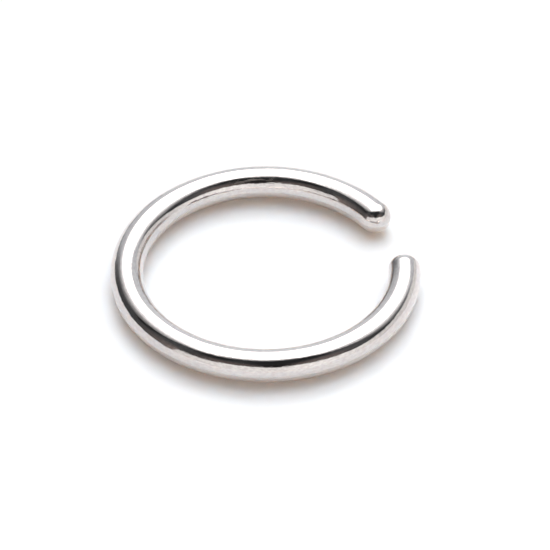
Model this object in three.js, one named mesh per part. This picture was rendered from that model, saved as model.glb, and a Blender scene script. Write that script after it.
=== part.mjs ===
// An ear cuff: one length of round silver wire with domed ends, bent into an open ring.
// Millimetres, +Z up. The ring lies flat on z = 0, its axis is Z, and its gap opens towards +X.
import * as THREE from 'three';

// Driving dimensions.
const wireDiameter = 1.3;
const boreDiameter = 9.7; // the clear hole inside the ring
const gapAngle = 36.7; // degrees between the two dome centres, seen from the ring's axis

// How finely the round surface is cut into facets.
const wireSides = 24; // a multiple of 4, so that flats face down, up, in and out
const bendSteps = 84;
const domeSteps = 6;

const wireRadius = wireDiameter / 2;
const ringRadius = (boreDiameter + wireDiameter) / 2; // to the middle of the wire
const cornerRadius = wireRadius / Math.cos(Math.PI / wireSides); // keeps the flats at the wire's radius

const bendStart = THREE.MathUtils.degToRad(gapAngle / 2);
const bendEnd = 2 * Math.PI - bendStart;
const wireLength = ringRadius * (bendEnd - bendStart); // dome centre to dome centre

// The frame of the wire at a distance along it: a point on its middle line, outwards and forwards.
// The domes stand straight out from the two ends of the bend.
function wireFrame(distance) {
  const alongBend = THREE.MathUtils.clamp(distance, 0, wireLength);
  const angle = bendStart + alongBend / ringRadius;
  const outward = new THREE.Vector3(Math.cos(angle), Math.sin(angle), 0);
  const forward = new THREE.Vector3(-Math.sin(angle), Math.cos(angle), 0);
  const centre = outward.clone().multiplyScalar(ringRadius);
  centre.addScaledVector(forward, distance - alongBend);
  centre.z = wireRadius;
  return { centre, outward, forward };
}

// The straight rod's outline, from the tip of one dome to the tip of the other, round the Y axis.
function rodOutline() {
  const outline = [];
  for (let step = 0; step <= domeSteps; step += 1) {
    const lift = (step / domeSteps) * (Math.PI / 2);
    outline.push(new THREE.Vector2(cornerRadius * Math.sin(lift), -wireRadius * Math.cos(lift)));
  }
  for (let step = 0; step <= bendSteps; step += 1) {
    outline.push(new THREE.Vector2(cornerRadius, (step / bendSteps) * wireLength));
  }
  for (let step = 0; step <= domeSteps; step += 1) {
    const lift = (step / domeSteps) * (Math.PI / 2);
    const overhang = wireRadius * Math.sin(lift);
    outline.push(new THREE.Vector2(cornerRadius * Math.cos(lift), wireLength + overhang));
  }
  outline[0].x = 0;
  outline[outline.length - 1].x = 0;
  return outline;
}

// Bends the rod round the ring: its X turns outwards, its Y runs along the wire, and its Z stays up.
function bendRod(rod) {
  const points = rod.attributes.position;
  for (let i = 0; i < points.count; i += 1) {
    const { centre, outward, forward } = wireFrame(points.getY(i));
    centre.addScaledVector(outward, points.getX(i));
    points.setXYZ(i, centre.x, centre.y, centre.z + points.getZ(i));
  }
  rod.computeVertexNormals();
  return rod;
}

const silver = new THREE.MeshStandardMaterial({ color: 0xd4d2d0, roughness: 0.08, metalness: 1 });
const rod = new THREE.LatheGeometry(rodOutline(), wireSides, Math.PI / wireSides, 2 * Math.PI);
const cuffWire = new THREE.Mesh(bendRod(rod), silver);
cuffWire.name = 'cuff_wire';

const earCuff = new THREE.Group();
earCuff.add(cuffWire);

export default earCuff;
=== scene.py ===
# A plain ear cuff of polished round silver wire, lying flat on a pale table in soft studio light.
import math

import bpy
from mathutils import Matrix, Vector


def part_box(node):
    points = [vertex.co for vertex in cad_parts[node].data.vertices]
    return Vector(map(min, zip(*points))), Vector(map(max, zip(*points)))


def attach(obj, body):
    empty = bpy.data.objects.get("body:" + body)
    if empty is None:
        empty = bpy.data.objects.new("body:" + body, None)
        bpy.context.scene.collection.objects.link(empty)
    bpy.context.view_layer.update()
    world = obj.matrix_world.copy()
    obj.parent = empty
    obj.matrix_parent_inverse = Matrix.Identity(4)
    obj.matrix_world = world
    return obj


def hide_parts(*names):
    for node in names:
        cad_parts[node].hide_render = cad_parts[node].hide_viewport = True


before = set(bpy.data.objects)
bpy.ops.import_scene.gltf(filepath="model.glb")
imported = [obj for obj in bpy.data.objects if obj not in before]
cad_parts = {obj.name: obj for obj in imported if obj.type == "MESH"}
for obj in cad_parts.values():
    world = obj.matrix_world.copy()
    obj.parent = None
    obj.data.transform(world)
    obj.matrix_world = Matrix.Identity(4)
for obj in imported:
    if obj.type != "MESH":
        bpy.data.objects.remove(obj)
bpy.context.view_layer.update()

wireLow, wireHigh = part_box("cuff_wire")
mm = 0.001

# The wire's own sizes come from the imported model.
wireRadius = (wireHigh.z - wireLow.z) / 2
ringRadius = wireHigh.y - wireRadius     # to the middle of the wire


# Node helpers

def link(tree, value, socket):    # a socket is joined, a plain value is typed in
    if isinstance(value, bpy.types.NodeSocket):
        tree.links.new(value, socket)
    elif value is not None:
        socket.default_value = value


def calc(tree, operation, first, second=None, third=None):
    node = tree.nodes.new("ShaderNodeMath")
    node.operation = operation
    for value, socket in zip((first, second, third), node.inputs):
        link(tree, value, socket)
    return node.outputs[0]


def ramp(tree, value, span, start, end):    # a smooth step from start to end while value crosses the span
    node = tree.nodes.new("ShaderNodeMapRange")
    node.interpolation_type = "SMOOTHSTEP"
    link(tree, value, node.inputs["Value"])
    link(tree, span[0], node.inputs["From Min"])
    link(tree, span[1], node.inputs["From Max"])
    link(tree, start, node.inputs["To Min"])
    link(tree, end, node.inputs["To Max"])
    return node.outputs["Result"]


def mixColour(tree, share, first, second):    # a mix node's colours are its inputs 6 and 7 and output 2
    node = tree.nodes.new("ShaderNodeMix")
    node.data_type = "RGBA"
    link(tree, share, node.inputs["Factor"])
    link(tree, first, node.inputs[6])
    link(tree, second, node.inputs[7])
    return node.outputs[2]


# The ring: a circle of wire is swept round the ring's axis, and its two tips are domed.

cuff = {
    "gapAngle": math.radians(36.7),      # between the two dome centres, seen from the ring's axis
    "sides": 96,
    "bendSteps": 560,
    "domeSteps": 24,
    "smallestLoop": 1e-6,                # the dome's last loop, as a share of the wire, before it is merged
    "weld": 0.0001 * mm,
}
cuff["bendStart"] = cuff["gapAngle"] / 2
cuff["bendEnd"] = 2 * math.pi - cuff["gapAngle"] / 2


def ringPoint(angle):
    return Vector((math.cos(angle) * ringRadius, math.sin(angle) * ringRadius, wireRadius))


def addLoop(angle):    # one open circle of the wire's section, standing at this angle round the ring
    bpy.ops.object.select_all(action="DESELECT")
    bpy.ops.mesh.primitive_circle_add(
        vertices=cuff["sides"], radius=wireRadius, fill_type="NOTHING",
        location=ringPoint(angle), rotation=(math.pi / 2, 0, angle))
    bpy.ops.object.transform_apply(location=True, rotation=True, scale=True)
    return bpy.context.object


def makeBend():    # the section is swept round the ring's axis
    bend = addLoop(cuff["bendStart"])
    bpy.ops.object.modifier_add(type="SCREW")
    sweep = bend.modifiers[-1]
    sweep.axis = "Z"
    sweep.angle = cuff["bendEnd"] - cuff["bendStart"]
    sweep.steps = cuff["bendSteps"]
    sweep.render_steps = cuff["bendSteps"]
    bpy.ops.object.modifier_apply(modifier=sweep.name)
    return bend


def makeEnd(angle, side):    # a domed tip, raised from the section in narrower and narrower steps
    end = addLoop(angle)
    centre = ringPoint(angle)
    forward = Vector((-math.sin(angle), math.cos(angle), 0)) * side
    bpy.ops.object.mode_set(mode="EDIT")
    bpy.ops.mesh.select_all(action="SELECT")
    turn = math.pi / 2 / cuff["domeSteps"]
    for step in range(cuff["domeSteps"]):
        lift = step * turn
        move = forward * (wireRadius * (math.sin(lift + turn) - math.sin(lift)))
        narrower = max(math.cos(lift + turn), cuff["smallestLoop"]) / math.cos(lift)
        bpy.ops.mesh.extrude_region_move(TRANSFORM_OT_translate={"value": move})
        centre = centre + move
        bpy.ops.transform.resize(value=(narrower,) * 3, center_override=centre)
    bpy.ops.mesh.merge(type="CENTER")
    bpy.ops.object.mode_set(mode="OBJECT")
    return end


def makeWire():
    wire = makeBend()
    ends = (makeEnd(cuff["bendStart"], -1), makeEnd(cuff["bendEnd"], 1))
    bpy.ops.object.select_all(action="DESELECT")
    for part in (*ends, wire):
        part.select_set(True)
    bpy.context.view_layer.objects.active = wire
    bpy.ops.object.join()
    wire.name = "cuff_wire_fine"
    wire.data.name = "cuffWireFine"
    bpy.ops.object.mode_set(mode="EDIT")
    bpy.ops.mesh.select_mode(type="VERT")
    bpy.ops.mesh.select_all(action="SELECT")
    bpy.ops.mesh.remove_doubles(threshold=cuff["weld"])
    bpy.ops.mesh.normals_make_consistent(inside=False)
    bpy.ops.object.mode_set(mode="OBJECT")
    bpy.ops.object.shade_smooth()
    return wire


def alongWire(place):    # where a point lies on the wire before it was bent: outwards, along and up
    angle = math.atan2(place.y, place.x) % (2 * math.pi)
    held = min(max(angle, cuff["bendStart"]), cuff["bendEnd"])
    outward = Vector((math.cos(held), math.sin(held), 0))
    forward = Vector((-math.sin(held), math.cos(held), 0))
    offset = place - outward * ringRadius
    return Vector((offset.dot(outward), held * ringRadius + offset.dot(forward), place.z - wireRadius))


def markWire(wire):    # the straightened place of each point, for marks that run along the wire
    mark = wire.data.attributes.new("wirePlace", "FLOAT_VECTOR", "POINT")
    for vertex, stored in zip(wire.data.vertices, mark.data):
        stored.vector = alongWire(vertex.co)


# The finish: bright white metal with fine polishing marks that run along the wire, a painted brown reflection
# on the upper inside and painted lighter, warmer low sides.

silver = {
    "colour": (0.835, 0.792, 0.763, 1),
    "dullColour": (0.75, 0.69, 0.675, 1),
    "roughness": 0.04,
    # the patterns' sizes: across the wire, along it, and how many finer layers are on top
    "marks": (0.055 * mm, 1.1 * mm, 3),
    "grain": (0.07 * mm, 0.17 * mm, 1),
    "scuffs": (0.05 * mm, 0.7 * mm, 2),
    "layerStrength": 0.6,
    "markDepth": 0.0022 * mm,
    "grainDepth": 0.0014 * mm,
    "grainSpan": (0.3, 0.7),             # of the grain's range, from the bright colour to the dull one
    "scuffSpan": (0.5, 0.72),
    "scuffRoughness": 0.08,
    # low on its sides the wire keeps a satin haze, and a lighter, warmer painted colour that stands in for
    # the light those low sides catch; both fade in between these heights from its middle
    "satinAndLowLightSpan": (-0.12 * mm, 0.13 * mm),
    "satinRoughness": 0.3,
    "lowLightColour": (0.845, 0.793, 0.755, 1),
    "lowLightShare": 0.7,
    # a painted reflection: a brown, streaky patch on the upper inside, where a camera and hand standing in
    # front are mirrored, made rougher there too; where it fades in and out along the wire and up the section
    "brownReflectionStart": (6.2 * mm, 6.7 * mm),
    "brownReflectionFinish": (8.3 * mm, 8.7 * mm),
    "brownReflectionFoot": (math.radians(39), math.radians(42)),
    "brownReflectionTop": (math.radians(50), math.radians(60)),
    "brownReflectionStreaks": (0.38, 0.55),
    "brownReflectionLeast": 0.25,
    "brownReflectionRoughness": 0.26,
    "paintedReflectionColour": (0.70, 0.62, 0.57, 1),
}


def brushed(tree, place, pattern):    # noise that is drawn out along the wire
    across, along, layers = pattern
    stretched = tree.nodes.new("ShaderNodeVectorMath")
    stretched.operation = "MULTIPLY"
    link(tree, place, stretched.inputs[0])
    stretched.inputs[1].default_value = (1 / across, 1 / along, 1 / across)
    noise = tree.nodes.new("ShaderNodeTexNoise")
    link(tree, stretched.outputs[0], noise.inputs["Vector"])
    noise.inputs["Scale"].default_value = 1
    noise.inputs["Detail"].default_value = layers
    noise.inputs["Roughness"].default_value = silver["layerStrength"]
    return noise.outputs[0]


def bumped(tree, height, depth, normal=None):
    node = tree.nodes.new("ShaderNodeBump")
    node.inputs["Distance"].default_value = depth
    link(tree, height, node.inputs["Height"])
    link(tree, normal, node.inputs["Normal"])
    return node.outputs["Normal"]


def paintedReflectionPlace(tree, outward, along, up, marks):    # how much of the painted brown reflection each spot takes, from 0 to 1
    slope = calc(tree, "ARCTAN2", up, calc(tree, "MULTIPLY", outward, -1))
    paintedReflection = ramp(tree, along, silver["brownReflectionStart"], 0, 1)
    paintedReflection = calc(tree, "MULTIPLY", paintedReflection, ramp(tree, along, silver["brownReflectionFinish"], 1, 0))
    paintedReflection = calc(tree, "MULTIPLY", paintedReflection, ramp(tree, slope, silver["brownReflectionFoot"], 0, 1))
    paintedReflection = calc(tree, "MULTIPLY", paintedReflection, ramp(tree, slope, silver["brownReflectionTop"], 1, 0))
    streaks = ramp(tree, marks, silver["brownReflectionStreaks"], silver["brownReflectionLeast"], 1)
    return calc(tree, "MULTIPLY", paintedReflection, streaks)


def makeSilver():
    material = bpy.data.materials.new("polishedSilver")
    material.use_nodes = True
    tree = material.node_tree
    metal = tree.nodes["Principled BSDF"]
    marked = tree.nodes.new("ShaderNodeAttribute")
    marked.attribute_name = "wirePlace"
    place = marked.outputs["Vector"]
    split = tree.nodes.new("ShaderNodeSeparateXYZ")
    link(tree, place, split.inputs[0])
    outward, along, up = split.outputs

    marks = brushed(tree, place, silver["marks"])
    grain = brushed(tree, place, silver["grain"])
    scuffs = ramp(tree, brushed(tree, place, silver["scuffs"]), silver["scuffSpan"], 0, 1)
    # where the painted brown reflection of a camera and hand in front lies, streaky along the marks
    paintedReflection = paintedReflectionPlace(tree, outward, along, up, marks)
    # low on the sides: a real satin haze (roughness) and painted lighter, warmer colour for the light caught
    # there
    satinAndLowLight = ramp(tree, up, silver["satinAndLowLightSpan"], 1, 0)

    dulled = ramp(tree, grain, silver["grainSpan"], 0, 1)
    colour = mixColour(tree, dulled, silver["colour"], silver["dullColour"])
    # painted light: the low sides take a lighter, warmer colour
    lowLightShare = calc(tree, "MULTIPLY", satinAndLowLight, silver["lowLightShare"])
    colour = mixColour(tree, lowLightShare, colour, silver["lowLightColour"])
    # painted reflection: the brown patch on the upper inside
    colour = mixColour(tree, paintedReflection, colour, silver["paintedReflectionColour"])
    link(tree, colour, metal.inputs["Base Color"])

    roughness = calc(tree, "MULTIPLY_ADD", scuffs, silver["scuffRoughness"], silver["roughness"])
    roughness = calc(tree, "MULTIPLY_ADD", paintedReflection, silver["brownReflectionRoughness"], roughness)
    roughness = calc(tree, "MULTIPLY_ADD", satinAndLowLight, silver["satinRoughness"], roughness)
    link(tree, roughness, metal.inputs["Roughness"])
    metal.inputs["Metallic"].default_value = 1

    relief = bumped(tree, grain, silver["grainDepth"])
    link(tree, bumped(tree, marks, silver["markDepth"], relief), metal.inputs["Normal"])
    return material


wire = makeWire()
markWire(wire)
wire.data.materials.append(makeSilver())
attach(wire, "root")
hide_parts("cuff_wire")
print("wire made:", len(wire.data.vertices), "points")


# The camera

view = {
    "turn": math.radians(-18.45),        # round the ring from -Y
    "elevation": math.radians(41.63),
    "distance": 25 * ringRadius,
    "lens": 226.4,
    "aim": Vector((0.37 * mm, 0.485 * mm, 0)),
    "nearest": 1 * mm,
    "farthest": 2,
}


def makeCamera():
    turned = Matrix.Rotation(view["turn"], 3, "Z")
    away = Vector((0, -math.cos(view["elevation"]), math.sin(view["elevation"])))
    place = turned @ (away * view["distance"])
    aim = turned @ view["aim"]
    bpy.ops.object.camera_add(location=place)
    camera = bpy.context.object
    camera.data.lens = view["lens"]
    camera.data.clip_start = view["nearest"]
    camera.data.clip_end = view["farthest"]
    camera.rotation_euler = (aim - place).to_track_quat("-Z", "Y").to_euler()
    bpy.context.scene.camera = camera


# The table and the wall behind it

studio = {
    "sides": 128,
    "floorRadius": 0.5,
    "floorColour": (0.945, 0.94, 0.94, 1),
    "floorRoughness": 0.45,
    "floorIor": 1.6,
    "floorGloss": 1.0,
    # the pale table lets light creep into shadows: how much, and how far for red, green and blue
    "creep": 0.8,
    "creepDepth": (3.1, 2.0, 1.3),
    "creepScale": 1.0 * mm,
    "wallRadius": 0.495,
    "wallHeight": 0.4,
}


def makeFloor():
    bpy.ops.object.select_all(action="DESELECT")
    bpy.ops.mesh.primitive_circle_add(
        vertices=studio["sides"], radius=studio["floorRadius"], fill_type="NGON")
    floor = bpy.context.object
    floor.name = "tableTop"
    material = bpy.data.materials.new("paleTable")
    material.use_nodes = True
    surface = material.node_tree.nodes["Principled BSDF"]
    surface.inputs["Base Color"].default_value = studio["floorColour"]
    surface.inputs["Roughness"].default_value = studio["floorRoughness"]
    surface.inputs["IOR"].default_value = studio["floorIor"]
    surface.inputs["Specular IOR Level"].default_value = studio["floorGloss"]
    surface.subsurface_method = "BURLEY"
    surface.inputs["Subsurface Weight"].default_value = studio["creep"]
    surface.inputs["Subsurface Radius"].default_value = studio["creepDepth"]
    surface.inputs["Subsurface Scale"].default_value = studio["creepScale"]
    floor.data.materials.append(material)


def makeWall():    # far behind, seen only where the camera looks past the table's edge
    bpy.ops.object.select_all(action="DESELECT")
    bpy.ops.mesh.primitive_cylinder_add(
        vertices=studio["sides"], radius=studio["wallRadius"], depth=studio["wallHeight"],
        end_fill_type="NOTHING", location=(0, 0, studio["wallHeight"] / 2))
    wall = bpy.context.object
    wall.name = "paleWall"
    material = bpy.data.materials.new("paleWall")
    material.use_nodes = True
    surface = material.node_tree.nodes["Principled BSDF"]
    surface.inputs["Base Color"].default_value = (0, 0, 0, 1)
    surface.inputs["Specular IOR Level"].default_value = 0
    surface.inputs["Emission Color"].default_value = (1, 1, 1, 1)
    surface.inputs["Emission Strength"].default_value = 1
    wall.data.materials.append(material)
    wall.visible_diffuse = False
    wall.visible_glossy = False
    wall.visible_transmission = False
    wall.visible_shadow = False


# The studio round the ring: a broad soft light above and behind, a pale card in front, a dim room between.
# The tables give an azimuth (0 at the front, + to the right) and a height in degrees or a level there.

light = {
    "softboxFoot": ((-180, 34), (-165, 33), (-150, 37), (-130, 45), (-110, 54.5), (-90, 62), (-70, 66),
                    (-50, 78.3), (-30, 80), (0, 80.5), (30, 79.5), (50, 78), (70, 68), (80, 64), (90, 57),
                    (110, 43), (130, 37), (150, 33), (165, 34), (180, 34)),
    "softboxBlur": ((-180, 4), (-165, 5), (-150, 14), (-130, 29), (-110, 35), (-90, 20), (-70, 9),
                    (-50, 17), (-30, 11), (0, 10), (30, 9), (50, 11), (70, 14), (90, 32), (110, 22),
                    (130, 16), (150, 4), (180, 4)),
    "softboxLevel": 1.59,
    "softboxColour": (0.99, 1.0, 1.02),
    # the softbox is brightest round its lamp
    "lampLevel": 2.4,
    "lampPlace": (170, 62),
    "lampSize": 30,
    "roomLevel": ((-180, 0.85), (-170, 0.76), (-160, 0.63), (-150, 0.5), (-140, 0.2), (-128, 0.076),
                  (-110, 0.06), (-90, 0.06), (-70, 0.07), (-50, 0.05), (0, 0.045), (50, 0.06), (70, 0.08),
                  (90, 0.08), (105, 0.09), (118, 0.17), (130, 0.48), (145, 0.64), (160, 0.71),
                  (170, 0.81), (180, 0.85)),
    "roomColour": (0.94, 0.985, 1.04),
    "roomTop": (48, 64),                 # it dims to this share of itself between these heights
    "roomTopShare": 0.75,
    # a dark gap low behind the table, on both sides: its middle, its edges either side and its top
    "gapAzimuth": 155,
    "gapEdge": (10, 14),
    "gapTop": (2.2, 4.2),
    "gapDarkness": 0.9,
    # warm light that the room throws back, in front and at the left
    "glowLevel": ((-180, 0), (-65, 0), (-45, 0.035), (-30, 0.07), (-15, 0.06), (0, 0.03), (15, 0.03),
                  (25, 0.07), (45, 0.08), (65, 0.01), (80, 0), (180, 0)),
    "glowTop": (34, 56),
    "sideGlowLevel": ((-180, 0), (-102, 0), (-90, 0.02), (-70, 0.085), (-64, 0.12), (-60, 0), (180, 0)),
    "sideGlowTop": (12, 40),
    "glowColour": (1.25, 0.93, 0.82),
    # dark things standing round the table: azimuth, elevation, size and what they leave of the light
    "shades": ((6, 38, 9, 0.35), (8, 52, 15, 0.55), (-50, 59, 9, 0.4), (-99, 35, 10, 0.4),
               (-99, 29, 5, 0.3), (86, 26, 9, 0.6), (46, 60, 8, 0.4)),
    "shadeEdge": 4,
    "cardTop": ((-180, 0), (-64, 0), (-62, 21), (-45, 24.5), (-30, 29.8), (-10, 31.5), (2, 30), (8, 26.5),
                (14, 30), (30, 30), (50, 24.5), (70, 19.3), (90, 18), (104, 19), (118, 19.5), (128, 17.5),
                (140, 13), (150, 0), (180, 0)),
    "cardLevel": ((-180, 0.76), (-64, 0.78), (-45, 0.86), (-20, 0.94), (0, 0.93), (12, 0.96), (30, 1.06),
                  (50, 1.0), (70, 0.9), (90, 0.74), (120, 0.76), (180, 0.76)),
    "cardColour": (0.985, 0.982, 0.98),
    "cardEdge": 0.6,
    "mapSize": 1024,
}
highest = 90       # the tallest height and the brightest levels that the tables may hold
brightest = 1
cardBrightest = 2


def roundTable(tree, share, points, top):    # a value that changes with azimuth
    node = tree.nodes.new("ShaderNodeFloatCurve")
    curve = node.mapping.curves[0]
    places = [((azimuth + 180) / 360, value / top) for azimuth, value in points]
    curve.points[0].location = places[0]
    curve.points[1].location = places[-1]
    for place in places[1:-1]:
        curve.points.new(*place)
    for point in curve.points:
        point.handle_type = "AUTO_CLAMPED"
    node.mapping.update()
    link(tree, share, node.inputs["Value"])
    return calc(tree, "MULTIPLY", node.outputs[0], top)


def offAxis(tree, direction, azimuth, elevation):    # degrees between a direction and a fixed one
    azimuth = math.radians(azimuth)
    elevation = math.radians(elevation)
    level = math.cos(elevation)
    facing = tree.nodes.new("ShaderNodeVectorMath")
    facing.operation = "DOT_PRODUCT"
    link(tree, direction, facing.inputs[0])
    facing.inputs[1].default_value = (
        math.sin(azimuth) * level, -math.cos(azimuth) * level, math.sin(elevation))
    return calc(tree, "DEGREES", calc(tree, "ARCCOSINE", facing.outputs["Value"]))


def tinted(tree, level, colour):
    node = tree.nodes.new("ShaderNodeVectorMath")
    node.operation = "SCALE"
    node.inputs[0].default_value = colour
    link(tree, level, node.inputs["Scale"])
    return node.outputs[0]


def skyDirection(tree):    # where light comes from, turned so that azimuth 0 is the front
    turned = tree.nodes.new("ShaderNodeVectorRotate")
    turned.rotation_type = "Z_AXIS"
    link(tree, tree.nodes.new("ShaderNodeTexCoord").outputs["Generated"], turned.inputs["Vector"])
    turned.inputs["Angle"].default_value = -view["turn"]
    return turned.outputs[0]


def makeSoftbox(tree, direction, elevation, share):    # where it is and what it shows
    foot = roundTable(tree, share, light["softboxFoot"], highest)
    blur = roundTable(tree, share, light["softboxBlur"], highest)
    edge = (calc(tree, "SUBTRACT", foot, blur), calc(tree, "ADD", foot, blur))
    lamp = calc(tree, "DIVIDE", offAxis(tree, direction, *light["lampPlace"]), light["lampSize"])
    lamp = calc(tree, "MULTIPLY", calc(tree, "MULTIPLY", lamp, lamp), -1)
    lamp = calc(tree, "EXPONENT", lamp)
    level = calc(tree, "MULTIPLY_ADD", lamp, light["lampLevel"], light["softboxLevel"])
    return ramp(tree, elevation, edge, 0, 1), tinted(tree, level, light["softboxColour"])


def makeGap(tree, azimuth, elevation):    # what the dark gap leaves of the room
    off = calc(tree, "SUBTRACT", calc(tree, "ABSOLUTE", azimuth), light["gapAzimuth"])
    off = calc(tree, "ABSOLUTE", off)
    gap = ramp(tree, off, light["gapEdge"], 1, 0)
    gap = calc(tree, "MULTIPLY", gap, ramp(tree, elevation, light["gapTop"], 1, 0))
    return calc(tree, "MULTIPLY_ADD", gap, -light["gapDarkness"], 1)


def makeGlow(tree, elevation, share, level, top):
    return calc(tree, "MULTIPLY", roundTable(tree, share, level, brightest), ramp(tree, elevation, top, 1, 0))


def makeRoom(tree, direction, azimuth, elevation, share):
    room = roundTable(tree, share, light["roomLevel"], brightest)
    room = calc(tree, "MULTIPLY", room, makeGap(tree, azimuth, elevation))
    room = calc(tree, "MULTIPLY", room, ramp(tree, elevation, light["roomTop"], 1, light["roomTopShare"]))
    frontGlow = makeGlow(tree, elevation, share, light["glowLevel"], light["glowTop"])
    sideGlow = makeGlow(tree, elevation, share, light["sideGlowLevel"], light["sideGlowTop"])
    glow = calc(tree, "ADD", frontGlow, sideGlow)
    for shadeAzimuth, shadeElevation, size, left in light["shades"]:
        off = offAxis(tree, direction, shadeAzimuth, shadeElevation)
        shade = ramp(tree, off, (size - light["shadeEdge"], size + light["shadeEdge"]), left, 1)
        room = calc(tree, "MULTIPLY", room, shade)
        glow = calc(tree, "MULTIPLY", glow, shade)
    both = tree.nodes.new("ShaderNodeVectorMath")
    both.operation = "ADD"
    link(tree, tinted(tree, room, light["roomColour"]), both.inputs[0])
    link(tree, tinted(tree, glow, light["glowColour"]), both.inputs[1])
    return both.outputs[0]


def makeCard(tree, elevation, share):    # where it is and what it shows
    top = roundTable(tree, share, light["cardTop"], highest)
    edge = (calc(tree, "SUBTRACT", top, light["cardEdge"]), calc(tree, "ADD", top, light["cardEdge"]))
    level = roundTable(tree, share, light["cardLevel"], cardBrightest)
    return ramp(tree, elevation, edge, 1, 0), tinted(tree, level, light["cardColour"])


def makeWorld():
    world = bpy.data.worlds.new("studio")
    bpy.context.scene.world = world
    world.use_nodes = True
    tree = world.node_tree
    direction = skyDirection(tree)
    split = tree.nodes.new("ShaderNodeSeparateXYZ")
    link(tree, direction, split.inputs[0])
    x, y, z = split.outputs
    elevation = calc(tree, "DEGREES", calc(tree, "ARCSINE", z))
    azimuth = calc(tree, "DEGREES", calc(tree, "ARCTAN2", x, calc(tree, "MULTIPLY", y, -1)))
    share = calc(tree, "MULTIPLY_ADD", azimuth, 1 / 360, 0.5)    # how far round, from 0 to 1
    inSoftbox, softbox = makeSoftbox(tree, direction, elevation, share)
    inCard, card = makeCard(tree, elevation, share)
    seen = mixColour(tree, inSoftbox, makeRoom(tree, direction, azimuth, elevation, share), softbox)
    seen = mixColour(tree, inCard, seen, card)
    sky = tree.nodes["Background"]
    link(tree, seen, sky.inputs["Color"])
    sky.inputs["Strength"].default_value = 1
    world.cycles_visibility.camera = False
    world.cycles.sampling_method = "MANUAL"
    world.cycles.sample_map_resolution = light["mapSize"]


makeCamera()
makeFloor()
makeWall()
makeWorld()
bpy.context.scene.view_settings.view_transform = "Standard"
print("studio set")
